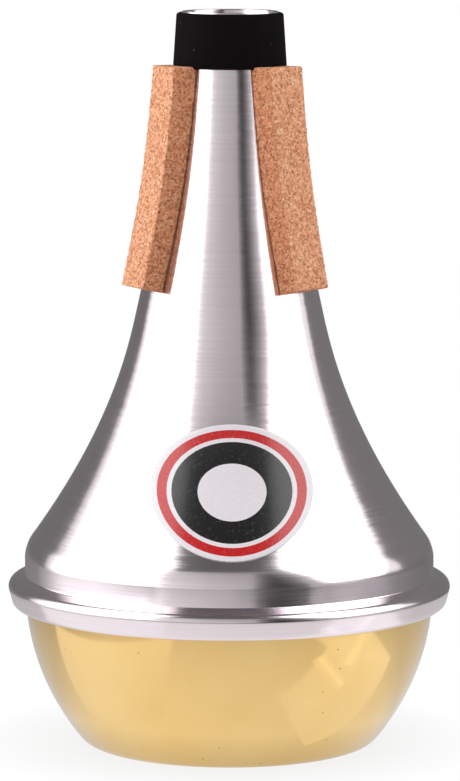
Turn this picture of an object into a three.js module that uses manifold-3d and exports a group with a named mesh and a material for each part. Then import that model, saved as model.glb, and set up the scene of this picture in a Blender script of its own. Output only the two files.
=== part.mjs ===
// Trumpet straight mute: a hollow flared shell closed by a cup, gripped in the bell by three corks.
// Millimetres, +Z up. It stands on its cup with the small end up: the origin is the middle of the
// face it stands on, and its front, which carries the badge, faces -Y.

import * as THREE from "three";
import { mergeVertices } from "three/addons/utils/BufferGeometryUtils.js";
import Module from "manifold-3d";

const wasm = await Module();
wasm.setup();

// Smoothness of the round shapes
const SIDES = 56; // flats in a full turn
const FLARE_STEPS = 14;
const CORNER_STEPS = 3;
const CUP_SIDE_STEPS = 8;
const CORK_STEPS = 12;
const BADGE_STEPS = 36;
const MERGE_DISTANCE = 0.0001; // points closer than this are one point

// Cup, spun from brass sheet
const CUP_WALL = 0.8;
const CUP_DEPTH = 26.5; // from the face it stands on up to the bead
const CUP_RIM_RADIUS = 38.75; // outside, where it enters the bead
const CUP_SPREAD = 13.35; // how far the rim lies outside the edge of the flat face it stands on
const CUP_CORNER_ROUNDING = 3.9; // between that face and the side
const FLANGE_ROUNDING = 0.5; // outside, where the rim turns out into its flange
const FLANGE_OVERHANG = 0.3; // of the flange past the hem that holds it

// Bead, the shell's lower edge rolled out and round the cup's flange
const SEAM_CLEARANCE = 0.3; // round the cup's rim and flange
const HEM_HEIGHT = 3.6; // turned up beside the cup, inside the bead
const HEM_BEND = 0.1; // radius inside the fold between the hem and the bead's lower face
const BEAD_HOLLOW = 0.4; // between the hem and the bead's outer wall, at the bottom
const BEAD_LOWER_BEND = 0.5; // radius inside the sheet, between the lower face and the outer wall
const BEAD_UPPER_BEND = 0.95; // the same, between the outer wall and the upper face
const BEAD_LEAN = 1.25; // how much wider the outer wall is at the top than at the bottom

// Shell, spun from aluminium sheet
const SHELL_WALL = 0.8;
const FOOT_SET_IN = 0.2; // of the foot's upright wall from the hem's inner face
const FOOT_WALL_HEIGHT = 5.4; // upright wall between the bead and the flare
const FOOT_BEND = 2.7; // radius inside the sheet, between that wall and the flare
const CREASE_ROUNDING = 0.6; // outside, between that wall and the bead
const FLARE_HEIGHT = 91.1;
const NECK_RADIUS = 9.95; // outside, at the upper end of the flare
const WAIST_RADIUS = 17.3; // outside, where the slim upper half meets the wide lower half
const WAIST_RISE = 46.3; // of the waist above the foot of the flare
const NECK_TAPER_SHARE = 0.091; // radius won for each unit down the axis, at the neck
const WAIST_TAPER_SHARE = 0.219; // the same, at the waist
const FOOT_TAPER_SHARE = 0.739; // the same, at the foot of the flare
const NECK_PULL = 22.7; // how strongly the neck's taper carries on down the flare
const WAIST_UPPER_PULL = 18; // how strongly the waist's taper carries on up the flare
const WAIST_LOWER_PULL = 8; // the same, down the flare
const FOOT_PULL = 22.7; // how strongly the foot's taper carries on up the flare
const TUBE_TAPER = 0.9; // how much slimmer the shell's open end is than the neck

// Sleeve, a black collar pressed over the neck
const SLEEVE_LENGTH = 10.25;
const SLEEVE_LOWER_WALL = 0.6;
const SLEEVE_UPPER_WALL = 0.85;
const SLEEVE_CLEARANCE = 0.15;
const LIP_ROUNDING = 0.8;
const LIP_ROUNDING_LIMIT_SHARE = 0.9; // of the wall that the rounding is cut from
const LIP_STEP = 0.1; // how far the lip stands above the shell's open end

// Corks, glued along the flare just below the sleeve
const CORK_WIDTH = 9.2;
const CORK_THICKNESS = 3.5; // in the middle of its width
const CORK_LENGTH = 42; // along the flare
const CORK_SLEEVE_GAP = 0.3;
// Each cork's turn from the front towards +X. They are set by eye, not evenly.
const LEFT_CORK_TURN = THREE.MathUtils.degToRad(-63.5);
const RIGHT_CORK_TURN = THREE.MathUtils.degToRad(49.6);
const REAR_CORK_TURN = THREE.MathUtils.degToRad(173);

// Adhesive film under each cork
const FILM_THICKNESS = 0.2;
const FILM_CLEARANCE = 0.1; // to the metal on one side and the cork on the other
const FILM_MARGIN = 0.4; // kept back from the cork's edges

// Badge, an oval vinyl label on the front of the flare
const BADGE_WIDTH = 30;
const BADGE_HEIGHT = 23.4; // seen from the front
const BADGE_RISE = 14.6; // of its middle above the foot of the flare
const BADGE_THICKNESS = 0.15;
const BADGE_CLEARANCE = 0.1;
const BADGE_TURN = THREE.MathUtils.degToRad(1); // from the front towards +X

// Heights above the face the mute stands on
const hemEdgeHeight = CUP_DEPTH + HEM_HEIGHT;
const flangeLowerHeight = hemEdgeHeight + SEAM_CLEARANCE;
const flangeUpperHeight = flangeLowerHeight + CUP_WALL;
const beadUpperHeight = flangeUpperHeight + SEAM_CLEARANCE + SHELL_WALL;
const footHeight = beadUpperHeight + FOOT_WALL_HEIGHT;
const neckHeight = footHeight + FLARE_HEIGHT;
const lipHeight = neckHeight + SLEEVE_LENGTH;
const tubeEndHeight = lipHeight - LIP_STEP;

// Radii that follow from the cup's rim outwards, and from the neck
const hemRadius = CUP_RIM_RADIUS + SEAM_CLEARANCE;
const footRadius = hemRadius - FOOT_SET_IN;
const flangeRadius = hemRadius + SHELL_WALL + FLANGE_OVERHANG;
const beadLowerRadius = hemRadius + SHELL_WALL + BEAD_HOLLOW + SHELL_WALL;
const beadUpperRadius = beadLowerRadius + BEAD_LEAN;
const tubeEndRadius = NECK_RADIUS - TUBE_TAPER;

// How far the corks stand off the shell
const corkStandOff = FILM_CLEARANCE + FILM_THICKNESS + FILM_CLEARANCE;

// A point of an outline: its distance from the axis and its height.
function at(radius, height) {
  return new THREE.Vector2(radius, height);
}

// Points along an arc round a centre.
function arcPoints(centre, radius, startAngle, endAngle, steps) {
  const arc = new THREE.EllipseCurve(
    centre.x, centre.y, radius, radius, startAngle, endAngle, endAngle < startAngle,
  );
  return arc.getPoints(steps);
}

// The corner of an outline, rounded off between the straight ways to the points before and after.
function roundedCorner(before, corner, after, rounding) {
  const back = before.clone().sub(corner).normalize();
  const onward = after.clone().sub(corner).normalize();
  const halfAngle = Math.acos(back.dot(onward)) / 2;
  const inward = back.clone().add(onward).normalize();
  const centre = inward.multiplyScalar(rounding / Math.sin(halfAngle)).add(corner);
  const reach = rounding / Math.tan(halfAngle);
  const start = back.multiplyScalar(reach).add(corner).sub(centre).angle();
  const end = onward.multiplyScalar(reach).add(corner).sub(centre).angle();
  const sweep = THREE.MathUtils.euclideanModulo(end - start + Math.PI, 2 * Math.PI) - Math.PI;
  return arcPoints(centre, rounding, start, start + sweep, CORNER_STEPS);
}

// The direction square to the way from one point to the next, on its left.
function leftOf(start, end) {
  const along = end.clone().sub(start).normalize();
  return new THREE.Vector2(-along.y, along.x);
}

// The path moved sideways by an even distance, to its left.
function offsetPath(path, distance) {
  return path.map((point, index) => {
    const first = index === 0;
    const last = index === path.length - 1;
    const arriving = first ? leftOf(point, path[1]) : leftOf(path[index - 1], point);
    const leaving = last ? arriving : leftOf(point, path[index + 1]);
    const middle = arriving.clone().add(leaving).normalize();
    return middle.multiplyScalar(distance / middle.dot(arriving)).add(point);
  });
}

// A closed outline turned round the axis. Its points run anticlockwise.
function turned(outline) {
  const geometry = new THREE.LatheGeometry(outline, SIDES);
  return geometry.rotateX(Math.PI / 2);
}

// A wall between a path and the same path moved to its left, turned round the axis.
function turnedWall(path, thickness) {
  const outline = path.concat(offsetPath(path, thickness).reverse());
  return turned(outline.concat([outline[0]]));
}

// A shape in the plane of radius and height, made even to both sides of that plane by a width.
function slab(outline, width) {
  const geometry = new THREE.ExtrudeGeometry(new THREE.Shape(outline), {
    depth: width,
    bevelEnabled: false,
  });
  return geometry.translate(0, 0, -width / 2).rotateX(Math.PI / 2);
}

// A geometry as a solid that can be cut.
function solidFrom(geometry) {
  const bare = geometry.clone();
  bare.deleteAttribute("normal");
  bare.deleteAttribute("uv");
  const merged = mergeVertices(bare, MERGE_DISTANCE);
  return new wasm.Manifold(
    new wasm.Mesh({
      numProp: 3,
      vertProperties: merged.attributes.position.array,
      triVerts: new Uint32Array(merged.index.array),
    }),
  );
}

// A cut solid as a geometry again.
function geometryFrom(solid) {
  const mesh = solid.getMesh();
  const geometry = new THREE.BufferGeometry();
  geometry.setAttribute("position", new THREE.BufferAttribute(mesh.vertProperties, 3));
  geometry.setIndex(new THREE.BufferAttribute(mesh.triVerts, 1));
  geometry.computeVertexNormals();
  return geometry;
}

// Curve of the flare's outside, from the foot up to the neck: two curves that meet smoothly at
// the waist.
function flareCurve() {
  const foot = at(footRadius, footHeight);
  const waist = at(WAIST_RADIUS, footHeight + WAIST_RISE);
  const neck = at(NECK_RADIUS, neckHeight);
  const footHandle = at(-FOOT_TAPER_SHARE, 1).multiplyScalar(FOOT_PULL).add(foot);
  const lowerHandle = at(WAIST_TAPER_SHARE, -1).multiplyScalar(WAIST_LOWER_PULL).add(waist);
  const upperHandle = at(-WAIST_TAPER_SHARE, 1).multiplyScalar(WAIST_UPPER_PULL).add(waist);
  const neckHandle = at(NECK_TAPER_SHARE, -1).multiplyScalar(NECK_PULL).add(neck);
  const flare = new THREE.CurvePath();
  flare.add(new THREE.CubicBezierCurve(foot, footHandle, lowerHandle, waist));
  flare.add(new THREE.CubicBezierCurve(waist, upperHandle, neckHandle, neck));
  return flare;
}

// Outside of the shell above the bead, from the crease up to its open end.
function skinPath() {
  const flare = flareCurve();
  const crease = at(footRadius, beadUpperHeight);
  const foot = at(footRadius, footHeight);
  return [
    crease,
    ...roundedCorner(crease, foot, flare.curves[0].v1, FOOT_BEND + SHELL_WALL),
    ...flare.getSpacedPoints(FLARE_STEPS).slice(1),
    at(tubeEndRadius, tubeEndHeight),
  ];
}

// Outside of the bead, from the edge of its hem inside the roll out and up to the crease.
function beadPath() {
  const hemEdge = at(hemRadius, hemEdgeHeight);
  const hemFold = at(hemRadius, CUP_DEPTH);
  const lower = at(beadLowerRadius, CUP_DEPTH);
  const upper = at(beadUpperRadius, beadUpperHeight);
  const crease = at(footRadius, beadUpperHeight);
  const foot = at(footRadius, footHeight);
  return [
    hemEdge,
    ...roundedCorner(hemEdge, hemFold, lower, HEM_BEND + SHELL_WALL),
    ...roundedCorner(hemFold, lower, upper, BEAD_LOWER_BEND + SHELL_WALL),
    ...roundedCorner(lower, upper, crease, BEAD_UPPER_BEND + SHELL_WALL),
    ...roundedCorner(upper, crease, foot, CREASE_ROUNDING),
  ];
}

// Shell: flare, foot wall and bead in one piece of sheet.
function bodyShell() {
  return turnedWall([...beadPath(), ...skinPath().slice(1)], SHELL_WALL);
}

// Outside of the cup, from the axis along its flat and up its side to the flange's edge.
function cupPath() {
  const rimHeight = flangeLowerHeight - FLANGE_ROUNDING;
  const rise = rimHeight - CUP_CORNER_ROUNDING;
  // The side is the arc that leaves the corner's arc smoothly and is upright at the rim.
  const gain = CUP_SPREAD ** 2 + rise ** 2 - CUP_CORNER_ROUNDING ** 2;
  const sideRadius = gain / (2 * (CUP_SPREAD - CUP_CORNER_ROUNDING));
  const cornerCentre = at(CUP_RIM_RADIUS - CUP_SPREAD, CUP_CORNER_ROUNDING);
  const sideCentre = at(CUP_RIM_RADIUS - sideRadius, rimHeight);
  const meeting = cornerCentre.clone().sub(sideCentre).angle() - 2 * Math.PI;
  const rim = at(CUP_RIM_RADIUS, rimHeight);
  const flangeFold = at(CUP_RIM_RADIUS, flangeLowerHeight);
  const flangeEdge = at(flangeRadius, flangeLowerHeight);
  return [
    at(0, 0),
    ...arcPoints(cornerCentre, CUP_CORNER_ROUNDING, -Math.PI / 2, meeting, CORNER_STEPS),
    ...arcPoints(sideCentre, sideRadius, meeting, 0, CUP_SIDE_STEPS).slice(1, -1),
    ...roundedCorner(rim, flangeFold, flangeEdge, FLANGE_ROUNDING),
    flangeEdge,
  ];
}

// Cup: a closed bowl whose flange is held in the bead.
function baseCup() {
  const outside = cupPath();
  const inside = offsetPath(outside, CUP_WALL).reverse();
  return turned([...outside, ...inside]);
}

// Sleeve: a collar over the neck, with a rounded lip a little above the shell's open end.
function neckSleeve() {
  const taper = TUBE_TAPER / (tubeEndHeight - neckHeight);
  const lowerInner = at(NECK_RADIUS + SLEEVE_CLEARANCE, neckHeight);
  const upperInner = at(lowerInner.x - taper * SLEEVE_LENGTH, lipHeight);
  const lowerOuter = at(lowerInner.x + SLEEVE_LOWER_WALL, neckHeight);
  const upperOuter = at(upperInner.x + SLEEVE_UPPER_WALL, lipHeight);
  const rounding = Math.min(LIP_ROUNDING, SLEEVE_UPPER_WALL * LIP_ROUNDING_LIMIT_SHARE);
  const lip = roundedCorner(lowerOuter, upperOuter, upperInner, rounding);
  return turned([lowerInner, lowerOuter, ...lip, upperInner, lowerInner]);
}

// Everything inside the flare's outside, grown by a distance, as a solid to cut with.
function flareCore(distance) {
  const grown = offsetPath(skinPath(), -distance);
  const outline = [at(0, beadUpperHeight), ...grown, at(0, tubeEndHeight)];
  return solidFrom(turned(outline));
}

// A bar bent along the flare between two distances down from the neck. It reaches from deep
// inside the shell out to an even height off it.
function flareBar(start, end, height, width) {
  const flare = flareCurve();
  const length = flare.getLength();
  const inside = [];
  const outside = [];
  for (let step = 0; step <= CORK_STEPS; step += 1) {
    const share = 1 - THREE.MathUtils.lerp(start, end, step / CORK_STEPS) / length;
    const point = flare.getPointAt(share);
    const tangent = flare.getTangentAt(share);
    const off = at(tangent.y, -tangent.x);
    inside.push(off.clone().multiplyScalar(-NECK_RADIUS / 2).add(point));
    outside.push(off.multiplyScalar(height).add(point));
  }
  return solidFrom(slab([...inside, ...outside.reverse()], width));
}

// Cork: a straight-sided strip, flat across its face and hollowed to the flare behind.
function cork(turn) {
  const end = CORK_SLEEVE_GAP + CORK_LENGTH;
  const bar = flareBar(CORK_SLEEVE_GAP, end, corkStandOff + CORK_THICKNESS, CORK_WIDTH);
  return geometryFrom(bar.subtract(coreSeenFrom(turn, corkStandOff)));
}

// Film: the adhesive between a cork and the shell.
function corkFilm(turn) {
  const start = CORK_SLEEVE_GAP + FILM_MARGIN;
  const end = CORK_SLEEVE_GAP + CORK_LENGTH - FILM_MARGIN;
  const width = CORK_WIDTH - 2 * FILM_MARGIN;
  const bar = flareBar(start, end, CORK_THICKNESS, width);
  const outside = coreSeenFrom(turn, FILM_CLEARANCE + FILM_THICKNESS);
  return geometryFrom(bar.intersect(outside).subtract(coreSeenFrom(turn, FILM_CLEARANCE)));
}

// The flare's core, turned back as a piece sees it that is made facing +X and then turned.
function coreSeenFrom(turn, distance) {
  return flareCore(distance).rotate([0, 0, -THREE.MathUtils.radToDeg(turn)]);
}

// Badge: an oval label that lies on the flare.
function badge() {
  const middle = footHeight + BADGE_RISE;
  const oval = new THREE.EllipseCurve(0, middle, BADGE_WIDTH / 2, BADGE_HEIGHT / 2);
  const prism = slab(oval.getPoints(BADGE_STEPS).slice(1), footRadius);
  prism.translate(0, -footRadius / 2, 0);
  const outside = coreSeenFrom(BADGE_TURN, BADGE_CLEARANCE + BADGE_THICKNESS);
  const inside = coreSeenFrom(BADGE_TURN, BADGE_CLEARANCE);
  return geometryFrom(solidFrom(prism).intersect(outside).subtract(inside));
}

// A named piece with its own finish.
function piece(name, geometry, color, roughness, metalness) {
  const material = new THREE.MeshStandardMaterial({ color, roughness, metalness });
  const mesh = new THREE.Mesh(geometry, material);
  mesh.name = name;
  return mesh;
}

// A cork with its film. They are made facing +X, and the front is -Y.
function gluedCork(side, fromFront) {
  const turn = fromFront - Math.PI / 2;
  const place = new THREE.Group();
  place.rotation.z = turn;
  place.add(piece(`cork_${side}`, cork(turn), "#d49a70", 0.9, 0));
  place.add(piece(`cork_adhesive_${side}`, corkFilm(turn), "#c9b48a", 0.5, 0));
  return place;
}

const mute = new THREE.Group();
mute.add(piece("body_shell", bodyShell(), "#cfced1", 0.32, 1));
mute.add(piece("base_cup", baseCup(), "#e3bd72", 0.22, 1));
mute.add(piece("neck_sleeve", neckSleeve(), "#141013", 0.75, 0));
mute.add(gluedCork("left", LEFT_CORK_TURN));
mute.add(gluedCork("right", RIGHT_CORK_TURN));
mute.add(gluedCork("rear", REAR_CORK_TURN));
const badgeLabel = piece("badge_label", badge(), "#1c1a1b", 0.35, 0);
badgeLabel.rotation.z = BADGE_TURN;
mute.add(badgeLabel);

export default mute;
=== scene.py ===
"""The finished look of a trumpet straight mute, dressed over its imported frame.

Shapes are drawn in millimetres and become metres as each mesh is finished. Patterns
are counted in each metre. The mute stands on its cup at the origin with its small end
up, and its front, with the badge, faces -Y.
"""

import logging
import math
from collections.abc import Sequence
from dataclasses import dataclass
from enum import Enum

import bmesh
import bpy
from mathutils import Matrix, Vector, geometry, noise


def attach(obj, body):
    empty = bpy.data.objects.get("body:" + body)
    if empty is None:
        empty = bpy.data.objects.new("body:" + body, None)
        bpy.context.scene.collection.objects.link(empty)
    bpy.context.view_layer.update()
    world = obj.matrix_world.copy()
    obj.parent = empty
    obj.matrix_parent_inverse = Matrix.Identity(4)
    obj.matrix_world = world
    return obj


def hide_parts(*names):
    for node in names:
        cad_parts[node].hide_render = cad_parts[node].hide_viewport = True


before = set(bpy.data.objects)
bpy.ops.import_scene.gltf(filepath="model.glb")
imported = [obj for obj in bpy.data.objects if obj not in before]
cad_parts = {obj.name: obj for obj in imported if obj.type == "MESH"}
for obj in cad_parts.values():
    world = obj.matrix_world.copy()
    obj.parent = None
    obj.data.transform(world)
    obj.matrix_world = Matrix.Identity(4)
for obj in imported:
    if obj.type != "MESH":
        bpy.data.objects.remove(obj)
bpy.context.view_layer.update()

MM = 0.001
BODY = "root"
ROUND_STEPS = 224
CORE_STEPS = 96
MERGE_DISTANCE = 0.001
EDGE_SHARE = 0.15
EDGE_ANGLE = 50.0
GLOW_SCALE = 4.0

Pair = tuple[float, float]
Place = tuple[float, float, float]
Colour = tuple[float, float, float, float]
Levels = tuple[Pair, ...]
Stops = Sequence[tuple[float, Colour]]
Node = bpy.types.Node
Socket = bpy.types.NodeSocket
Inputs = dict[str | int, object]
Mesh = bmesh.types.BMesh
Corner = bmesh.types.BMVert
Piece = bpy.types.Object

log = logging.getLogger("mute")


def display(red: int, green: int, blue: int) -> Colour:
    """Turns a colour as a screen shows it into the linear values that shaders take.

    Args:
        red: Red, from 0 to 255.
        green: Green, from 0 to 255.
        blue: Blue, from 0 to 255.

    Returns:
        The linear colour, opaque.
    """
    channels = []
    for value in (red, green, blue):
        share = value / 255
        dark = share / 12.92
        light = ((share + 0.055) / 1.055) ** 2.4
        channels.append(dark if share <= 0.04045 else light)
    return (channels[0], channels[1], channels[2], 1.0)


def grey(level: float) -> Colour:
    """Gives a neutral linear colour of this level."""
    return (level, level, level, 1.0)


# Drawing materials


class NodeSketch:
    """A new material or world, and the nodes that are wired up in it."""

    def __init__(self, name: str, world: bool = False) -> None:
        """Starts with the plain nodes that Blender gives.

        Args:
            name: Name of the material or world.
            world: True for a world.
        """
        shelf = bpy.data.worlds if world else bpy.data.materials
        self.owner = shelf.new(name)
        self.owner.use_nodes = True
        self.tree = self.owner.node_tree

    def node(self, kind: str, inputs: Inputs | None = None, **settings: object) -> Node:
        """Adds a node.

        Args:
            kind: Blender's name of the node type, after its ShaderNode.
            inputs: Values or sockets for its inputs.
            **settings: Options of the node itself.

        Returns:
            The new node.
        """
        made = self.tree.nodes.new(f"ShaderNode{kind}")
        for name, value in settings.items():
            setattr(made, name, value)
        for name, value in (inputs or {}).items():
            self.feed(made.inputs[name], value)
        return made

    def feed(self, target: Socket, value: object) -> None:
        """Links a socket into an input, or sets the input to a plain value.

        Args:
            target: The input.
            value: The socket or the value.
        """
        if isinstance(value, Socket):
            self.tree.links.new(value, target)
        else:
            target.default_value = value

    def surface(self, **inputs: object) -> None:
        """Sets or links inputs of the surface shader, with underscores for spaces."""
        for name, value in inputs.items():
            self.feed(self.tree.nodes["Principled BSDF"].inputs[name.replace("_", " ")], value)

    def show(self, shader: Node) -> None:
        """Shows another shader in place of the surface shader."""
        self.feed(self.tree.nodes["Material Output"].inputs["Surface"], shader.outputs[0])

    def place(self) -> Socket:
        """Gives the point's place in the row's frame, in metres."""
        return self.node("TexCoord").outputs["Object"]

    def math(self, operation: str, first: object, second: object = 0.0) -> Socket:
        """Works out one sum of two numbers or sockets, by Blender's name of the sum."""
        return self.node("Math", {0: first, 1: second}, operation=operation).outputs[0]

    def vector(self, operation: str, first: object, second: object = (0.0, 0.0, 0.0)) -> Node:
        """Works out one sum of two vectors or sockets, by Blender's name of the sum."""
        return self.node("VectorMath", {0: first, 1: second}, operation=operation)

    def noise(self, vector: Socket, scale: float, detail: float = 2.0, roughness: float = 0.5) -> Socket:
        """Adds a noise pattern from 0 to 1, with its grains in each unit of the vector."""
        inputs = {"Vector": vector, "Scale": scale, "Detail": detail, "Roughness": roughness}
        return self.node("TexNoise", inputs).outputs[0]

    def cells(self, vector: Socket, scale: float, feature: str = "F1") -> Node:
        """Adds a pattern of cells, each with its own distance and random colour."""
        inputs = {"Vector": vector, "Scale": scale}
        return self.node("TexVoronoi", inputs, feature=feature)

    def ramp(self, value: Socket, stops: Stops, stepped: bool = False) -> Socket:
        """Turns a number into a colour along a row of stops.

        Args:
            value: The number, from 0 to 1.
            stops: Positions and colours, in rising order.
            stepped: True for hard edges between the colours.

        Returns:
            The colour's socket.
        """
        made = self.node("ValToRGB", {0: value})
        made.color_ramp.interpolation = "CONSTANT" if stepped else "LINEAR"
        elements = made.color_ramp.elements
        while len(elements) < len(stops):
            elements.new(0.5)
        for element, (position, colour) in zip(elements, stops):
            element.position = position
            element.color = colour
        return made.outputs[0]

    def spread(self, value: Socket, given: Pair, wanted: Pair = (0.0, 1.0)) -> Socket:
        """Maps a number from a given range to a wanted one, and holds it there."""
        inputs = {"Value": value, 1: given[0], 2: given[1], 3: wanted[0], 4: wanted[1]}
        return self.node("MapRange", inputs).outputs[0]

    def mix(self, factor: object, first: object, second: object, blend: str = "MIX") -> Socket:
        """Mixes two colours.

        Args:
            factor: Share of the second colour.
            first: First colour or socket.
            second: Second colour or socket.
            blend: Blender's name of the way they mix.

        Returns:
            The mixed colour's socket.
        """
        made = self.node("Mix", data_type="RGBA", blend_type=blend)
        self.feed(made.inputs["Factor"], factor)
        self.feed(made.inputs[6], first)
        self.feed(made.inputs[7], second)
        return made.outputs[2]

    def relief(
        self, height: Socket, depth: float, strength: float = 1.0, under: Socket | None = None
    ) -> Socket:
        """Raises the surface by a height pattern.

        Args:
            height: The pattern, from 0 to 1.
            depth: Its full height, in millimetres.
            strength: Share of the relief that shows.
            under: A relief that this one lies on.

        Returns:
            The normal's socket.
        """
        inputs = {"Height": height, "Distance": depth * MM, "Strength": strength}
        if under is not None:
            inputs["Normal"] = under
        return self.node("Bump", inputs).outputs[0]

    def turning_lines(self, along: float, across: float, detail: float) -> Socket:
        """Adds fine lines that run round the axis, as a tool leaves them in spinning.

        Args:
            along: Grains in each metre round the axis.
            across: Lines in each metre across them.
            detail: Layers of finer grain.

        Returns:
            The pattern's value, from 0 to 1.
        """
        place = self.place()
        parts = self.node("SeparateXYZ", {0: place}).outputs
        flat = self.vector("MULTIPLY", place, (1.0, 1.0, 0.0)).outputs[0]
        out = self.vector("LENGTH", flat).outputs["Value"]
        down = self.math("SUBTRACT", parts["Z"], out)
        slid = self.node("CombineXYZ", {0: parts["X"], 1: parts["Y"], 2: down}).outputs[0]
        packed = self.vector("MULTIPLY", slid, (along, along, across)).outputs[0]
        return self.noise(packed, 1.0, detail)

    def round_tangent(self) -> Socket:
        """Finds the direction round the axis, along the turning lines."""
        across = self.vector("CROSS_PRODUCT", (0.0, 0.0, 1.0), self.place()).outputs[0]
        return self.vector("NORMALIZE", across).outputs[0]

    def swayed(self, lines: Socket, reach: float) -> Socket:
        """Turns the surface a little about the axis, line by line, as a tool chatters.

        Args:
            lines: The pattern of the lines, from 0 to 1.
            reach: Full turn between the lines, in radians.

        Returns:
            The normal's socket.
        """
        sway = self.math("MULTIPLY", self.math("SUBTRACT", lines, 0.5), reach)
        normal = self.node("NewGeometry").outputs["Normal"]
        inputs = {0: self.round_tangent(), "Scale": sway}
        aside = self.node("VectorMath", inputs, operation="SCALE").outputs[0]
        moved = self.vector("ADD", normal, aside).outputs[0]
        return self.vector("NORMALIZE", moved).outputs[0]

    def specks(self, scale: float, share: float, size: float) -> Socket:
        """Scatters small round specks.

        Args:
            scale: Places for a speck in each metre.
            share: Share of the places that hold one.
            size: Size of a speck, as a share of the room between places.

        Returns:
            A mask that is 1 on the specks.
        """
        dots = self.cells(self.place(), scale)
        near = self.math("LESS_THAN", dots.outputs["Distance"], size)
        pick = self.node("SeparateColor", {0: dots.outputs["Color"]}).outputs[0]
        return self.math("MULTIPLY", near, self.math("LESS_THAN", pick, share))

    def seen_directly(self) -> Socket:
        """Tells the rays that show a thing itself from those that carry its light.

        Returns:
            A number that is 1 for the first and 0 for the others.
        """
        rays = self.node("LightPath").outputs
        seen = self.math("MAXIMUM", rays["Is Camera Ray"], rays["Is Glossy Ray"])
        return self.math("MAXIMUM", seen, rays["Is Transmission Ray"])


# Finishes


class Finish(NodeSketch):
    """The look of one material slot of the record."""

    slot: str

    def __init__(self) -> None:
        """Starts a material and draws the finish in it."""
        super().__init__(self.slot)
        self.draw()

    def draw(self) -> None:
        """Draws the finish."""
        raise NotImplementedError


class SpunAluminium(Finish):
    """Bright sheet aluminium with the fine lines of spinning round its axis."""

    slot: str = "spun_aluminium"
    bright: Colour = display(241, 230, 235)
    dull: Colour = display(236, 225, 230)
    fine_lines: float = 3800.0
    fine_depth: float = 0.0009
    broad_lines: float = 1000.0
    broad_depth: float = 0.001
    chatter_lines: float = 3600.0
    sway: float = 0.055
    polish: Pair = (0.14, 0.19)
    smears: Pair = (0.0, 0.05)

    def draw(self) -> None:
        """Draws the finish."""
        fine = self.turning_lines(along=24.0, across=self.fine_lines, detail=3.0)
        broad = self.turning_lines(along=14.0, across=self.broad_lines, detail=2.0)
        chatter = self.turning_lines(along=60.0, across=self.chatter_lines, detail=2.0)
        handled = self.noise(self.place(), scale=45.0, detail=4.0)
        rough = self.spread(fine, (0.3, 0.72), self.polish)
        lines = self.relief(fine, self.fine_depth, under=self.swayed(chatter, self.sway))
        self.surface(
            Base_Color=self.mix(self.spread(fine, (0.35, 0.7)), self.dull, self.bright),
            Metallic=1.0,
            Roughness=self.math("ADD", rough, self.spread(handled, (0.5, 0.75), self.smears)),
            Anisotropic=0.5,
            Anisotropic_Rotation=0.25,
            Tangent=self.round_tangent(),
            Normal=self.relief(broad, self.broad_depth, under=lines),
        )


class LacqueredBrass(Finish):
    """Pale gold spun brass, polished and lacquered, with small pits."""

    slot: str = "spun_brass"
    gold: Colour = display(244, 207, 137)
    deep: Colour = display(240, 199, 125)
    pit: Colour = display(160, 118, 66)
    lines: float = 2600.0
    line_depth: float = 0.0012
    pit_depth: float = 0.02
    polish: Pair = (0.09, 0.12)

    def draw(self) -> None:
        """Draws the finish."""
        lines = self.turning_lines(along=30.0, across=self.lines, detail=3.0)
        cloud = self.noise(self.place(), scale=60.0, detail=3.0)
        pits = self.specks(scale=360.0, share=0.6, size=0.05)
        colour = self.mix(self.spread(cloud, (0.3, 0.7)), self.deep, self.gold)
        relief = self.relief(lines, self.line_depth)
        self.surface(
            Base_Color=self.mix(pits, colour, self.pit),
            Metallic=1.0,
            Roughness=self.spread(lines, (0.3, 0.7), self.polish),
            Coat_Weight=0.6,
            Coat_Roughness=0.03,
            Normal=self.relief(self.math("SUBTRACT", 1.0, pits), self.pit_depth, under=relief),
        )


class BlackSleeve(Finish):
    """Dead matt black sleeve, with a little lint on it."""

    slot: str = "black_sleeve"
    black: Colour = display(14, 9, 12)
    worn: Colour = display(22, 17, 20)
    lint: Colour = display(54, 48, 50)
    grain_depth: float = 0.02

    def draw(self) -> None:
        """Draws the finish."""
        grain = self.noise(self.place(), scale=5200.0, detail=3.0)
        wear = self.noise(self.place(), scale=260.0, detail=4.0)
        lint = self.specks(scale=420.0, share=0.3, size=0.09)
        tone = self.mix(self.spread(wear, (0.5, 0.8), (0.0, 0.5)), self.black, self.worn)
        self.surface(
            Base_Color=self.mix(lint, tone, self.lint),
            Roughness=0.82,
            Specular_IOR_Level=0.06,
            Normal=self.relief(grain, self.grain_depth),
        )


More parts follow.
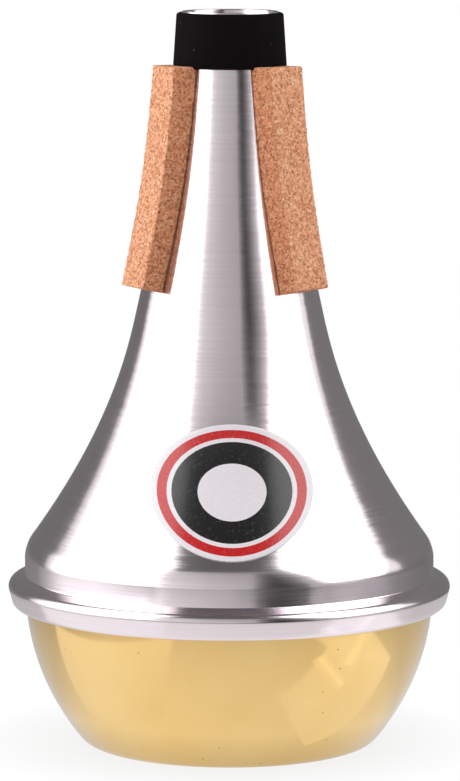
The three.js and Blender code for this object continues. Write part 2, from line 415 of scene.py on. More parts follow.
class PressedCork(Finish):
    """Cork granules pressed together and cut, with dark and pale flecks."""

    slot: str = "cork"
    granules: float = 2300.0
    warp: float = 0.22
    tans: Stops = (
        (0.0, display(118, 58, 30)),
        (0.14, display(190, 106, 66)),
        (0.4, display(234, 153, 111)),
        (0.75, display(254, 186, 147)),
        (1.0, display(255, 216, 181)),
    )
    dark_dust: Colour = display(177, 96, 60)
    pale_dust: Colour = display(255, 212, 173)
    dust_share: float = 0.45
    seam: Colour = display(156, 88, 55)
    bark: Colour = display(118, 58, 32)
    bark_share: float = 0.7
    # Painted shade that darkens the cork's sides.
    painted_side_shade: Colour = (0.86, 0.76, 0.7, 1.0)
    depth: float = 0.09

    def draw(self) -> None:
        """Draws the finish, with painted shade on the sides that face round the axis."""
        place = self.place()
        warp = self.node("TexNoise", {"Vector": place, "Scale": 2600.0}).outputs["Color"]
        inputs = {0: warp, 1: (self.warp * MM,) * 3, 2: place}
        pushed = self.node("VectorMath", inputs, operation="MULTIPLY_ADD").outputs[0]
        grains = self.cells(pushed, self.granules)
        pick = self.node("SeparateColor", {0: grains.outputs["Color"]}).outputs
        mottle = self.noise(place, scale=4800.0, detail=3.0, roughness=0.6)
        dust = self.mix(self.spread(mottle, (0.3, 0.72)), self.dark_dust, self.pale_dust)
        body = self.mix(self.dust_share, self.ramp(pick[0], self.tans), dust)
        edges = self.cells(pushed, self.granules, "DISTANCE_TO_EDGE")
        gap = self.spread(edges.outputs["Distance"], (0.0, 0.08), (0.5, 0.0))
        seamed = self.mix(gap, body, self.seam)
        bark = self.specks(scale=1300.0, share=0.18, size=0.26)
        flecked = self.mix(self.math("MULTIPLY", bark, self.bark_share), seamed, self.bark)
        # Painted shade: the faces that look round the axis, the cork's sides, are darkened as if they
        # were in shade.
        facing = self.node("NewGeometry").outputs["Normal"]
        turned = self.vector("DOT_PRODUCT", facing, self.round_tangent()).outputs["Value"]
        side = self.spread(self.math("ABSOLUTE", turned), (0.5, 0.9))
        height = self.math("ADD", self.math("MULTIPLY", pick[1], 0.5), self.math("MULTIPLY", mottle, 0.5))
        self.surface(
            Base_Color=self.mix(side, flecked, self.painted_side_shade, "MULTIPLY"),
            Roughness=0.9,
            Specular_IOR_Level=0.12,
            Normal=self.relief(height, self.depth, strength=0.8),
        )


class DriedAdhesive(Finish):
    """Contact adhesive, dried to a dull brown film."""

    slot: str = "adhesive"
    brown: Colour = display(116, 78, 56)
    pale: Colour = display(150, 108, 80)
    depth: float = 0.05

    def draw(self) -> None:
        """Draws the finish."""
        lumps = self.noise(self.place(), scale=900.0, detail=3.0)
        self.surface(
            Base_Color=self.mix(self.spread(lumps, (0.35, 0.65)), self.brown, self.pale),
            Roughness=0.75,
            Specular_IOR_Level=0.2,
            Normal=self.relief(lumps, self.depth),
        )


class BadgeVinyl(Finish):
    """Glossy printed vinyl: plain black and red rings round a white middle."""

    slot: str = "badge_vinyl"
    white: Colour = display(232, 226, 231)
    black: Colour = display(27, 25, 27)
    red: Colour = display(196, 32, 34)
    depth: float = 0.006

    def __init__(self, width: float, height: float, middle: float, turn: float) -> None:
        """Starts a material for one oval.

        Args:
            width: Width of the oval, in millimetres.
            height: Height of the oval seen from the front.
            middle: Height of its middle.
            turn: Its turn from the front towards +X, in degrees.
        """
        self.spin = (0.0, 0.0, -math.radians(turn))
        self.shift = (0.0, 0.0, -2 * middle / height)
        self.scale = (2 / (width * MM), 0.0, 2 / (height * MM))
        super().__init__()

    def draw(self) -> None:
        """Draws the finish, with the rings as ovals round the middle."""
        faced = self.node("Mapping", {0: self.place(), "Rotation": self.spin}).outputs[0]
        inputs = {0: faced, "Location": self.shift, "Scale": self.scale}
        oval = self.node("Mapping", inputs).outputs[0]
        out = self.vector("LENGTH", oval).outputs["Value"]
        inner = ((0.0, self.white), (0.42, self.black), (0.74, self.white))
        outer = ((0.8, self.red), (0.92, self.white))
        rings = self.ramp(out, inner + outer, stepped=True)
        wear = self.noise(self.place(), scale=1800.0, detail=4.0)
        ripple = self.noise(self.place(), scale=500.0)
        self.surface(
            Base_Color=self.mix(self.spread(wear, (0.6, 0.9), (0.0, 0.12)), rings, self.white),
            Roughness=self.spread(wear, (0.3, 0.7), (0.22, 0.3)),
            Coat_Weight=0.5,
            Coat_Roughness=0.12,
            Normal=self.relief(ripple, self.depth),
        )


# Drawing shapes


def spin_round(mesh: Mesh, axis: Place, steps: int) -> None:
    """Turns a drawn line once round an axis through the origin, and closes its seam and poles.

    Args:
        mesh: The mesh that holds the line.
        axis: Direction of the axis.
        steps: Flats in the full turn.
    """
    bmesh.ops.spin(
        mesh, geom=mesh.verts[:] + mesh.edges[:], cent=(0.0, 0.0, 0.0), axis=axis,
        angle=math.tau, steps=steps, use_merge=True, use_duplicate=False,
    )
    bmesh.ops.remove_doubles(mesh, verts=mesh.verts, dist=MERGE_DISTANCE)


class Outline:
    """Half-section of a turned piece, with the radius along X and the height along Z."""

    def __init__(self, radius: float, height: float) -> None:
        """Puts the pen at the first point.

        Args:
            radius: Distance of that point from the axis.
            height: Height of that point.
        """
        self.mesh = bmesh.new()
        self.start = self.mesh.verts.new((radius, 0.0, height))
        self.tip = self.start

    def line(self, radius: float, height: float) -> Corner:
        """Draws a straight line.

        Args:
            radius: Distance of its end from the axis.
            height: Height of its end.

        Returns:
            The corner at its end.
        """
        corner = self.mesh.verts.new((radius, 0.0, height))
        self.mesh.edges.new((self.tip, corner))
        self.tip = corner
        return corner

    def arc(self, centre: Pair, degrees: float, steps: int) -> None:
        """Draws an arc from the tip.

        Args:
            centre: Radius and height of its centre.
            degrees: How far it sweeps, anticlockwise.
            steps: Short lines in it.
        """
        swept = bmesh.ops.spin(
            self.mesh, geom=[self.tip], cent=(centre[0], 0.0, centre[1]), axis=(0.0, 1.0, 0.0),
            angle=-math.radians(degrees), steps=steps, use_merge=False, use_duplicate=False,
        )
        self.tip = swept["geom_last"][0]

    def close(self) -> None:
        """Joins the tip to the first point."""
        self.mesh.edges.new((self.tip, self.start))

    def soften(self, corner: Corner, radius: float, steps: int) -> None:
        """Rounds a corner off.

        Args:
            corner: The corner between two straight lines.
            radius: Radius of the rounding.
            steps: Short lines in it.
        """
        ways = [(edge.other_vert(corner).co - corner.co) for edge in corner.link_edges]
        reach = radius / math.tan(ways[0].angle(ways[1]) / 2)
        bmesh.ops.bevel(
            self.mesh, geom=[corner], offset=reach, offset_type="OFFSET", segments=steps,
            profile=0.5, affect="VERTICES", material=-1,
        )

    def turn(self, steps: int = ROUND_STEPS) -> Mesh:
        """Turns the outline round the upright axis.

        Args:
            steps: Flats in a full turn.

        Returns:
            The turned mesh, with its faces outward.
        """
        spin_round(self.mesh, (0.0, 0.0, 1.0), steps)
        bmesh.ops.recalc_face_normals(self.mesh, faces=self.mesh.faces)
        facing = [face.normal.xy.dot(face.calc_center_median().xy) for face in self.mesh.faces]
        if max(facing) < -min(facing):
            bmesh.ops.reverse_faces(self.mesh, faces=self.mesh.faces)
        return self.mesh


def cast(mesh: Mesh, name: str) -> Piece:
    """Makes an object of a mesh that is drawn in millimetres.

    Args:
        mesh: The drawn mesh, which is used up.
        name: Name of the object.

    Returns:
        The object, smooth shaded and in metres.
    """
    bmesh.ops.scale(mesh, vec=(MM, MM, MM), verts=mesh.verts)
    data = bpy.data.meshes.new(name)
    mesh.to_mesh(data)
    mesh.free()
    data.shade_smooth()
    piece = bpy.data.objects.new(name, data)
    bpy.context.scene.collection.objects.link(piece)
    return piece


def settle(piece: Piece) -> None:
    """Makes a piece's modifiers part of its mesh.

    Args:
        piece: The piece with the modifiers.
    """
    graph = bpy.context.evaluated_depsgraph_get()
    settled = bpy.data.meshes.new_from_object(piece.evaluated_get(graph))
    drawn = piece.data
    piece.modifiers.clear()
    piece.data = settled
    bpy.data.meshes.remove(drawn)


def give_wall(piece: Piece, thickness: float, outward: bool = False) -> None:
    """Gives a thin sheet its thickness and takes the sharpness off its edges.

    Args:
        piece: The sheet, with its faces outward.
        thickness: Thickness of the sheet, in millimetres.
        outward: True if the thickness lies outside the drawn face.
    """
    wall = piece.modifiers.new("wall", "SOLIDIFY")
    wall.thickness = thickness * MM
    wall.offset = 1.0 if outward else -1.0
    wall.use_even_offset = True
    edge = piece.modifiers.new("edge", "BEVEL")
    edge.width = EDGE_SHARE * thickness * MM
    edge.segments = 2
    edge.limit_method = "ANGLE"
    edge.angle_limit = math.radians(EDGE_ANGLE)
    settle(piece)


def dress(piece: Piece, finish: Finish, node: str) -> None:
    """Finishes a piece and hands it to the frame.

    Args:
        piece: The finished shape.
        finish: Its look.
        node: Name of the frame's node that it stands for.
    """
    piece.data.materials.clear()
    piece.data.materials.append(finish.owner)
    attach(piece, BODY)
    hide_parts(node)
    log.info("%s: %d faces for %s", piece.name, len(piece.data.polygons), node)


# The mute


@dataclass(frozen=True)
class FlareLine:
    """Outside of the shell's flare, two curves that meet smoothly at its waist."""

    foot_radius: float = 38.85
    foot_height: float = 37.7
    foot_pull: float = 22.7
    foot_taper: float = 0.739
    waist_radius: float = 17.3
    waist_height: float = 84.0
    waist_pulls: Pair = (8.0, 18.0)
    waist_taper: float = 0.219
    neck_radius: float = 9.95
    neck_height: float = 128.8
    neck_pull: float = 22.7
    neck_taper: float = 0.091
    core_rise: float = 3.0
    core_taper: float = 0.4

    def points(self, steps: int = 120) -> list[Vector]:
        """Walks up the flare.

        Args:
            steps: Short lines in it, half of them below the waist.

        Returns:
            The points, from the foot to the neck.
        """
        foot = Vector((self.foot_radius, 0.0, self.foot_height))
        waist = Vector((self.waist_radius, 0.0, self.waist_height))
        neck = Vector((self.neck_radius, 0.0, self.neck_height))
        foot_handle = foot + self.foot_pull * Vector((-self.foot_taper, 0.0, 1.0))
        rise = Vector((-self.waist_taper, 0.0, 1.0))
        neck_handle = neck + self.neck_pull * Vector((self.neck_taper, 0.0, -1.0))
        below = waist - self.waist_pulls[0] * rise
        above = waist + self.waist_pulls[1] * rise
        lower = geometry.interpolate_bezier(foot, foot_handle, below, waist, steps // 2 + 1)
        upper = geometry.interpolate_bezier(waist, above, neck_handle, neck, steps - steps // 2 + 1)
        return lower + upper[1:]

    def strip(self, start: float, end: float, height: float) -> list[Vector]:
        """Walks down the side of a strip that lies along the flare.

        Args:
            start: Distance of its upper end from the neck, down the curve.
            end: Distance of its lower end from the neck.
            height: How far out it lies.

        Returns:
            The points, from the upper end to the lower.
        """
        fine_steps, lines = 600, 40
        points = self.points(fine_steps)[::-1]
        side = []
        gone = 0.0
        for above, point in zip(points, points[1:]):
            step = point - above
            gone += step.length
            target = start + (end - start) * len(side) / lines
            if gone >= target and len(side) <= lines:
                out = Vector((-step.z, 0.0, step.x)).normalized()
                side.append(point + out * height)
        return side

    def core(self, name: str, distance: float, steps: int = CORE_STEPS, rises: int = 40) -> Piece:
        """Fills everything inside the flare, grown by a distance, to cut other pieces with.

        Args:
            name: Name of the object.
            distance: How far it is grown.
            steps: Flats in a full turn.
            rises: Short lines from the foot to the neck.

        Returns:
            The solid core.
        """
        points = self.points(rises)
        outline = Outline(0.0, self.foot_height)
        for index, point in enumerate(points):
            ahead = points[min(index + 1, rises)] - points[max(index - 1, 0)]
            beside = point + distance * Vector((ahead.z, 0.0, -ahead.x)).normalized()
            outline.line(beside.x, beside.z)
        top = self.neck_height + self.core_rise
        outline.line(self.neck_radius + distance - self.core_taper, top)
        outline.line(0.0, top)
        return cast(outline.turn(steps), name)


@dataclass
class BodyShell:
    """Spun shell: rolled bead with its hem, foot wall, flare and open end in one sheet."""

    flare: FlareLine = FlareLine()
    wall: float = 0.8
    hem_radius: float = 39.05
    hem_height: float = 30.1
    hem_rounding: float = 0.9
    bead_height: float = 26.5
    bead_lower_radius: float = 41.05
    bead_lower_rounding: float = 1.3
    bead_upper_radius: float = 42.3
    bead_upper_height: float = 32.3
    bead_slope: float = 1.15
    bead_upper_rounding: float = 1.5
    crease_rounding: float = 0.35
    foot_rounding: float = 6.2
    foot_room: float = 2.4
    tube_end_radius: float = 9.05
    tube_end_height: float = 139.05

    def build(self) -> None:
        """Builds and dresses the shell."""
        outline = Outline(self.hem_radius, self.hem_height)
        fold = outline.line(self.hem_radius, self.bead_height)
        lower = outline.line(self.bead_lower_radius, self.bead_height)
        upper = outline.line(self.bead_upper_radius, self.bead_upper_height - self.bead_slope)
        crease = outline.line(self.flare.foot_radius, self.bead_upper_height)
        foot = outline.line(self.flare.foot_radius, self.flare.foot_height)
        for point in self.flare.points()[1:]:
            if (point - foot.co).length > self.foot_room:
                outline.line(point.x, point.z)
        outline.line(self.tube_end_radius, self.tube_end_height)
        outline.soften(foot, self.foot_rounding, steps=10)
        outline.soften(crease, self.crease_rounding, steps=5)
        outline.soften(upper, self.bead_upper_rounding, steps=10)
        outline.soften(lower, self.bead_lower_rounding, steps=8)
        outline.soften(fold, self.hem_rounding, steps=6)
        shell = cast(outline.turn(), "shell")
        give_wall(shell, self.wall)
        dress(shell, SpunAluminium(), "body_shell")


@dataclass
class BaseCup:
    """Spun cup: flat underneath, bowed up its side, with its flange inside the bead."""

    wall: float = 0.8
    flat_radius: float = 25.4
    corner_rounding: float = 3.9
    rim_radius: float = 38.75
    rim_height: float = 29.9
    flange_radius: float = 40.15
    flange_height: float = 30.4
    flange_rounding: float = 0.45

    def build(self) -> None:
        """Builds and dresses the cup."""
        spread = self.rim_radius - self.flat_radius
        rise = self.rim_height - self.corner_rounding
        gain = spread**2 + rise**2 - self.corner_rounding**2
        side_radius = gain / (2 * (spread - self.corner_rounding))
        side_centre = (self.rim_radius - side_radius, self.rim_height)
        lean = math.degrees(math.atan2(rise, self.flat_radius - side_centre[0]))
        outline = Outline(0.0, 0.0)
        outline.line(self.flat_radius / 2, 0.0)
        outline.line(self.flat_radius, 0.0)
        outline.arc((self.flat_radius, self.corner_rounding), 90 - lean, steps=10)
        outline.arc(side_centre, lean, steps=40)
        fold = outline.line(self.rim_radius, self.flange_height)
        outline.line(self.flange_radius, self.flange_height)
        outline.soften(fold, self.flange_rounding, steps=4)
        cup = cast(outline.turn(), "cup")
        give_wall(cup, self.wall)
        dress(cup, LacqueredBrass(), "base_cup")


@dataclass
class NeckSleeve:
    """Black sleeve pressed over the neck, with a rounded lip."""

    lower_height: float = 128.58
    lip_height: float = 138.8
    lower_radii: Pair = (10.1, 10.7)
    upper_radii: Pair = (9.19, 10.04)
    lip_rounding: float = 0.6
    skirt_rounding: float = 0.12
    mouth_rounding: float = 0.06

    def build(self) -> None:
        """Builds and dresses the sleeve."""
        outline = Outline(self.lower_radii[0], self.lower_height)
        skirt = outline.line(self.lower_radii[1], self.lower_height)
        lip = outline.line(self.upper_radii[1], self.lip_height)
        mouth = outline.line(self.upper_radii[0], self.lip_height)
        outline.close()
        outline.soften(lip, self.lip_rounding, steps=8)
        outline.soften(skirt, self.skirt_rounding, steps=3)
        outline.soften(mouth, self.mouth_rounding, steps=3)
        sleeve = cast(outline.turn(), "sleeve")
        dress(sleeve, BlackSleeve(), "neck_sleeve")


class CorkSide(Enum):
    """Where a cork sits: its turn from the front towards +X, in degrees."""

    LEFT = -63.5
    RIGHT = 49.6
    REAR = 173.0


@dataclass
class GripCorks:
    """Cork strips along the flare, each with its film of adhesive."""

    flare: FlareLine = FlareLine()
    width: float = 9.2
    length: float = 42.1
    thickness: float = 3.7
    stand_off: float = 0.2
    root_depth: float = 5.0
    sleeve_gap: float = 0.12
    end_height: float = 129.0
    collar_radius: float = 10.78
    collar_height: float = 128.5
    collar_rise: float = 2.0
    glue_margin: float = 0.12
    glue_reach: float = 2.0
    glue_gap: float = 0.02
    glue_crease: float = 40.0
    voxel: float = 0.24
    grain_scale: float = 1.9
    grain_depth: float = 0.035
    chip_scale: float = 1.1
    chip_start: float = 0.35
    chip_depth: float = 0.15

    def bar(
        self, name: str, margin: float, height: float, turn: float, level: float | None = None
    ) -> Piece:
        """Builds a bar bent along the flare, reaching deep inside the shell.

        Args:
            name: Name of the object.
            margin: How far it is kept back from the cork's edges.
            height: How far it stands off the shell.
            turn: Its turn from the front towards +X, in degrees.
            level: Height of an upper end that is cut level, where it is.

        Returns:
            The bar.
        """
        start = self.sleeve_gap + margin
        end = self.sleeve_gap + self.length - margin
        half = self.width / 2 - margin
        inside = self.flare.strip(start, end, -self.root_depth)
        outside = self.flare.strip(start, end, height)
        if level is not None:
            inside[0].z = outside[0].z = level
        mesh = bmesh.new()
        ring = [mesh.verts.new(point) for point in inside + outside[::-1]]
        side = mesh.faces.new(ring)
        bmesh.ops.translate(mesh, vec=(0.0, -half, 0.0), verts=mesh.verts)
        grown = bmesh.ops.extrude_face_region(mesh, geom=[side], use_keep_orig=True)
        far = [item for item in grown["geom"] if isinstance(item, Corner)]
        bmesh.ops.translate(mesh, vec=(0.0, 2 * half, 0.0), verts=far)
        bmesh.ops.recalc_face_normals(mesh, faces=mesh.faces)
        spun = Matrix.Rotation(math.radians(turn - 90), 3, "Z")
        bmesh.ops.rotate(mesh, cent=(0.0, 0.0, 0.0), matrix=spun, verts=mesh.verts)
        return cast(mesh, name)

    def collar(self) -> Piece:
        """Fills the room that the sleeve takes, to keep the corks clear of it.

        Returns:
            The solid core.
        """
        top = self.end_height + self.collar_rise
        outline = Outline(0.0, self.collar_height)
        outline.line(self.collar_radius, self.collar_height)
        outline.line(self.collar_radius, top)
        outline.line(0.0, top)
        return cast(outline.turn(CORE_STEPS), "collar")

    def cut(self, piece: Piece, core: Piece, operation: str) -> None:
        """Cuts a piece with a solid core.

        Args:
            piece: The piece.
            core: The core.
            operation: Blender's name of the way it cuts.
        """
        tool = piece.modifiers.new("flare", "BOOLEAN")
        tool.operation = operation
        tool.solver = "EXACT"
        tool.object = core

    def crumble(self, piece: Piece, seed: float) -> None:
        """Gives the cut faces their small unevenness and the edges their crumbs.

        Args:
            piece: The remeshed cork.
            seed: Where in the pattern the piece lies.
        """
        shift = Vector((seed, -seed, seed / 2))
        ways = [vertex.normal.copy() for vertex in piece.data.vertices]
        for vertex, way in zip(piece.data.vertices, ways):
            spot = vertex.co / MM + shift
            grain = noise.noise(spot * self.grain_scale)
            chip = max(0.0, noise.noise(spot * self.chip_scale) - self.chip_start)
            vertex.co += way * MM * (self.grain_depth * grain - self.chip_depth * chip)
        piece.data.update()

    def build(self) -> None:
        """Builds and dresses all the corks and films."""
        pressed_cork = PressedCork()
        dried_glue = DriedAdhesive()
        seat = self.flare.core("cork_seat", self.stand_off)
        skin = self.flare.core("glue_skin", self.glue_gap)
        cover = self.flare.core("glue_cover", self.stand_off + self.glue_gap)
        collar = self.collar()
        reach = self.stand_off + self.thickness
        for side in CorkSide:
            label = side.name.lower()
            cork = self.bar(f"cork_strip_{label}", 0.0, reach, side.value, self.end_height)
            self.cut(cork, seat, "DIFFERENCE")
            self.cut(cork, collar, "DIFFERENCE")
            grid = cork.modifiers.new("grid", "REMESH")
            grid.mode = "VOXEL"
            grid.voxel_size = self.voxel * MM
            settle(cork)
            self.crumble(cork, side.value)
            cork.data.shade_smooth()
            dress(cork, pressed_cork, f"cork_{label}")
            glue = self.bar(f"glue_film_{label}", self.glue_margin, self.glue_reach, side.value)
            self.cut(glue, cover, "INTERSECT")
            self.cut(glue, skin, "DIFFERENCE")
            settle(glue)
            glue.data.set_sharp_from_angle(angle=math.radians(self.glue_crease))
            dress(glue, dried_glue, f"cork_adhesive_{label}")
        for core in (seat, skin, cover, collar):
            bpy.data.objects.remove(core)


@dataclass
class Badge:
    """Oval label that lies on the front of the flare."""

    flare: FlareLine = FlareLine()
    width: float = 30.0
    height: float = 23.4
    rise: float = 14.6
    thickness: float = 0.15
    clearance: float = 0.1
    turn: float = 1.0
    stand: float = 50.0
    rings: int = 24
    spokes: int = 128

    def build(self) -> None:
        """Builds and dresses the badge: a disc in front of the flare, laid back onto it."""
        middle = self.flare.foot_height + self.rise
        half = self.width / 2
        mesh = bmesh.new()
        spoke = [mesh.verts.new((half * step / self.rings, 0.0, 0.0)) for step in range(self.rings + 1)]
        for inner, outer in zip(spoke, spoke[1:]):
            mesh.edges.new((inner, outer))
        spin_round(mesh, (0.0, 1.0, 0.0), self.spokes)
        bmesh.ops.scale(mesh, vec=(1.0, 1.0, self.height / self.width), verts=mesh.verts)
        bmesh.ops.translate(mesh, vec=(0.0, -self.stand, middle), verts=mesh.verts)
        bmesh.ops.recalc_face_normals(mesh, faces=mesh.faces)
        if next(iter(mesh.faces)).normal.y > 0:
            bmesh.ops.reverse_faces(mesh, faces=mesh.faces)
        badge = cast(mesh, "badge")
        seat = self.flare.core("badge_seat", self.clearance, steps=360, rises=60)
        laid = badge.modifiers.new("laid", "SHRINKWRAP")
        laid.target = seat
        laid.wrap_method = "PROJECT"
        laid.use_project_y = True
        laid.use_positive_direction = True
        laid.use_negative_direction = False
        settle(badge)
        badge.data.transform(Matrix.Rotation(math.radians(self.turn), 4, "Z"))
        give_wall(badge, self.thickness, outward=True)
        bpy.data.objects.remove(seat)
        dress(badge, BadgeVinyl(self.width, self.height, middle, self.turn), "badge_label")


# The studio


@dataclass(frozen=True)
class Card:
    """A soft light or card that stands or lies round the mute, unseen by the camera.

    Its corners are azimuth, radius and height: the two at the lower or inner edge, and
    the two above or outside them. Its levels run along it, and fade from edge to edge.
    """

    name: str
    corners: tuple[Place, ...]
    levels: Levels
    fade: Pair = (1.0, 1.0)

    def build(self, lights_dull: bool = True) -> None:
        """Builds the card, glowing only towards the mute.

        Args:
            lights_dull: False for a card that shows only in what is glossy.
        """
        mesh = bmesh.new()
        mesh.loops.layers.uv.new("card")
        bmesh.ops.create_grid(mesh, x_segments=60, y_segments=12, size=1.0, calc_uvs=True)
        near_left, near_right, far_left, far_right = (Vector(corner) for corner in self.corners)
        for vertex in mesh.verts:
            along, up = (vertex.co.x + 1) / 2, (vertex.co.y + 1) / 2
            near, far = near_left.lerp(near_right, along), far_left.lerp(far_right, along)
            vertex.co = self.spot(near.lerp(far, up))
        mute_middle = Vector((0.0, 0.0, 80.0))
        for face in mesh.faces:
            face.normal_update()
            if face.normal.dot(mute_middle - face.calc_center_median()) < 0:
                face.normal_flip()
        card = cast(mesh, self.name)
        card.data.materials.append(self.material())
        card.visible_camera = False
        card.visible_shadow = False
        card.visible_diffuse = lights_dull

    def spot(self, place: Vector) -> Vector:
        """Turns azimuth, radius and height into a point."""
        turn = math.radians(place.x)
        return Vector((place.y * math.sin(turn), -place.y * math.cos(turn), place.z))

    def material(self) -> bpy.types.Material:
        """Draws its glow. A ramp holds no more than 1, so the strength makes up for that.

        Returns:
            The material.
        """
        sketch = NodeSketch(self.name)
        chart = sketch.node("UVMap", uv_map="card").outputs[0]
        parts = sketch.node("SeparateXYZ", {0: chart}).outputs
        stops = [(share, grey(level / GLOW_SCALE)) for share, level in self.levels]
        glow = sketch.ramp(parts["X"], stops)
        faded = sketch.spread(parts["Y"], (0.0, 1.0), self.fade)
        behind = sketch.node("NewGeometry").outputs["Backfacing"]
        strength = sketch.math("MULTIPLY", sketch.spread(behind, (0.0, 1.0), (GLOW_SCALE, 0.0)), faded)
        sketch.show(sketch.node("Emission", {"Color": glow, "Strength": strength}))
        return sketch.owner


class TablePatch(Card):
    """A patch of light with straight sides on the table, its corners given as points."""

    def spot(self, place: Vector) -> Vector:
        """Keeps the point as it is given."""
        return place.copy()


@dataclass
class Studio:
    """Pale floor, soft lights at both sides, the grey of the room in front, and the camera."""

    camera_place: Place = (0.1, -839.7, 175.7)
    camera_pitch: float = 7.355
    camera_roll: float = 0.084
    camera_lens: float = 206.0
    camera_sensor: float = 36.0
    light_level: float = 2.45
    room_grey: float = 0.5
    floor_grey: float = 0.55
    floor_radius: float = 1600.0
    shadow_reach: Pair = (0.027, 0.05)
    shadow_white: Pair = (0.84, 0.995)

    def room_cards(self) -> tuple[Card, ...]:
        """Lists the lights and cards that stand round the mute.

        Returns:
            The cards.
        """
        full = self.light_level
        left_join = ((-132, 620, 700), (-37, 620, 700))
        right_join = ((34, 620, 560), (121, 620, 560))
        left = ((-121, 620, 0), (-37, 620, 0)) + left_join
        left_top = left_join + ((-140, 430, 1180), (-50, 430, 1180))
        right = ((54, 620, 72), (97, 620, 72)) + right_join
        right_top = right_join + ((42, 430, 1180), (134, 430, 1180))
        right_foot = ((40, 618, 0), (140, 618, 0), (40, 618, 73), (140, 618, 73))
        front = ((-38, 310, 0), (52, 310, 0), (-41, 310, 325), (36, 310, 325))
        flag = ((13, 285, 3), (43, 285, 3), (13, 285, 260), (34, 285, 260))
        back = ((110, 700, 0), (250, 700, 0), (110, 700, 700), (250, 700, 700))
        above = ((-180, 0, 1200), (180, 0, 1200), (-180, 1500, 1200), (180, 1500, 1200))
        left_levels = ((0.0, 0.6), (0.08, 1.1), (0.2, full), (0.9, full), (1.0, 1.0))
        foot_levels = ((0.0, 0.3), (0.2, 0.46), (0.3, 0.6), (0.38, 0.38), (0.48, 0.2), (1.0, 0.17))
        front_levels = (
            (0.0, 1.5), (0.05, 1.02), (0.11, 0.84), (0.22, 0.74),
            (0.36, 0.63), (0.48, 0.58), (0.57, 0.54), (1.0, 0.5),
        )
        flag_levels = ((0.0, 0.36), (0.08, 0.16), (0.3, 0.05), (0.5, 0.03), (0.7, 0.08), (1.0, 0.2))
        return (
            Card("left_light", left, left_levels),
            Card("left_light_top", left_top, ((0.0, 0.6), (0.15, full), (0.85, full), (1.0, 0.9))),
            Card("right_light", right, ((0.0, 0.7), (0.1, full), (0.85, full), (1.0, 0.6))),
            Card("right_light_top", right_top, ((0.0, 0.9), (0.12, full), (0.85, full), (1.0, 0.6))),
            Card("right_foot_card", right_foot, foot_levels),
            Card("front_card", front, front_levels, fade=(1.0, 0.74)),
            Card("front_flag", flag, flag_levels, fade=(0.8, 2.0)),
            Card("back_card", back, ((0.0, 0.2), (1.0, 0.16))),
            Card("ceiling", above, ((0.0, 0.11), (1.0, 0.11))),
        )

    def table_cards(self) -> tuple[Card, ...]:
        """Lists the bright and dim parts of the table top that the cup and the bead show.

        Returns:
            The cards.
        """
        near = (
            (0.0, 0.58), (0.14, 0.58), (0.22, 0.6), (0.27, 0.7), (0.33, 0.82),
            (0.41, 0.86), (0.45, 0.84), (0.5, 0.8), (0.56, 0.78), (0.62, 0.78),
            (0.67, 0.8), (0.72, 0.76), (0.77, 0.64), (0.86, 0.65), (1.0, 0.58),
        )
        far = (
            (0.0, 0.2), (0.14, 0.25), (0.18, 0.5), (0.22, 0.95), (0.29, 1.0), (0.33, 0.7),
            (0.36, 0.48), (0.39, 0.3), (0.5, 0.32), (0.515, 0.1), (0.56, 0.04), (0.617, 0.04),
            (0.64, 0.34), (0.67, 0.44), (0.74, 0.42), (0.78, 0.25), (0.86, 0.18), (1.0, 0.2),
        )
        rim, ring, edge, end = (((-180, out, 0.3), (180, out, 0.3)) for out in (25, 35, 150, 900))
        left = ((-35, -15, 0.5), (-18, -36, 0.5), (-120, 25, 0.5), (-54, -108, 0.5))
        right = ((16, -27, 0.6), (17, -46, 0.6), (70, -5, 0.6), (66, -62, 0.6))
        beyond = ((70, -5, 0.6), (66, -62, 0.6), (114, -30, 0.6), (76, -88, 0.6))
        streak = ((57, -29, 0.7), (53, -47, 0.7), (108, -27, 0.7), (98, -51, 0.7))
        slash = ((35, -33, 0.8), (47, -33, 0.8), (44, -58, 0.8), (58, -58, 0.8))
        left_levels = ((0.0, 0.94), (0.3, 1.0), (0.7, 0.99), (1.0, 0.95))
        streak_levels = ((0.0, 1.0), (0.3, 1.05), (0.5, 1.2), (0.7, 1.05), (1.0, 1.0))
        slash_levels = ((0.0, 1.0), (0.3, 1.06), (0.5, 1.2), (0.7, 1.06), (1.0, 1.0))
        return (
            # The contact card is darker towards the cup: painted shade where the cup stands on the table,
            # seen in the cup's reflection.
            Card("table_contact", rim + ring, near, fade=(0.74, 1.13)),
            Card("table_near", ring + edge, near, fade=(1.13, 0.8)),
            Card("table_far", edge + end, far),
            TablePatch("table_left", left, left_levels, fade=(0.97, 1.03)),
            TablePatch("table_right", right, ((0.0, 1.0), (0.5, 1.01), (1.0, 0.98)), fade=(0.92, 1.04)),
            TablePatch("table_beyond", beyond, ((0.0, 1.0), (0.4, 1.1), (1.0, 1.0)), fade=(1.0, 0.95)),
            TablePatch("table_streak", streak, streak_levels, fade=(1.0, 1.02)),
            TablePatch("table_slash", slash, slash_levels, fade=(0.97, 1.0)),
        )

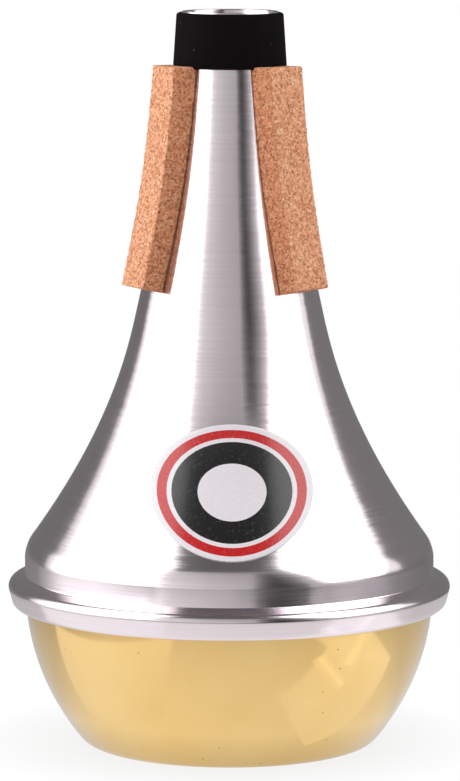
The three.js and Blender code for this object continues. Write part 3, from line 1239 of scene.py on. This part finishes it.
    def floor(self) -> None:
        """Builds the round floor, which fades to white away from the mute."""
        mesh = bmesh.new()
        bmesh.ops.create_circle(mesh, cap_ends=True, segments=96, radius=self.floor_radius)
        for face in mesh.faces:
            if face.normal.z < 0:
                face.normal_flip()
        floor = cast(mesh, "floor")
        sketch = NodeSketch("pale_floor")
        out = sketch.vector("LENGTH", sketch.place()).outputs["Value"]
        share = sketch.spread(out, self.shadow_reach, self.shadow_white)
        factor = sketch.math("MULTIPLY", sketch.seen_directly(), share)
        plain = sketch.tree.nodes["Principled BSDF"].outputs[0]
        white = sketch.node("Emission", {"Color": grey(1.0), "Strength": 1.0}).outputs[0]
        sketch.surface(Base_Color=grey(self.floor_grey), Roughness=0.3)
        sketch.show(sketch.node("MixShader", {0: factor, 1: plain, 2: white}))
        floor.data.materials.append(sketch.owner)

    def sky(self) -> None:
        """Sets the room beyond: grey to light by, and white to look at."""
        sketch = NodeSketch("room", world=True)
        bpy.context.scene.world = sketch.owner
        room = sketch.mix(sketch.seen_directly(), grey(self.room_grey), grey(1.0))
        sketch.feed(sketch.tree.nodes["Background"].inputs["Color"], room)

    def camera(self) -> None:
        """Sets the camera where the picture was taken from."""
        data = bpy.data.cameras.new("camera")
        data.lens = self.camera_lens
        data.sensor_width = self.camera_sensor
        camera = bpy.data.objects.new("camera", data)
        camera.location = [value * MM for value in self.camera_place]
        tilt = Matrix.Rotation(math.radians(90 - self.camera_pitch), 4, "X")
        roll = Matrix.Rotation(math.radians(self.camera_roll), 4, "Z")
        camera.rotation_euler = (tilt @ roll).to_euler()
        bpy.context.scene.collection.objects.link(camera)
        bpy.context.scene.camera = camera

    def build(self) -> None:
        """Sets up everything round the mute."""
        bpy.context.scene.view_settings.view_transform = "Standard"
        for card in self.room_cards():
            card.build()
        for card in self.table_cards():
            card.build(lights_dull=False)
        self.floor()
        self.sky()
        self.camera()


def main() -> None:
    """Builds the mute and its studio, in order."""
    logging.basicConfig(level=logging.INFO, format="%(message)s")
    for part in (BodyShell(), BaseCup(), NeckSleeve(), GripCorks(), Badge(), Studio()):
        log.info("building %s", type(part).__name__)
        part.build()


if __name__ == "__main__":
    main()
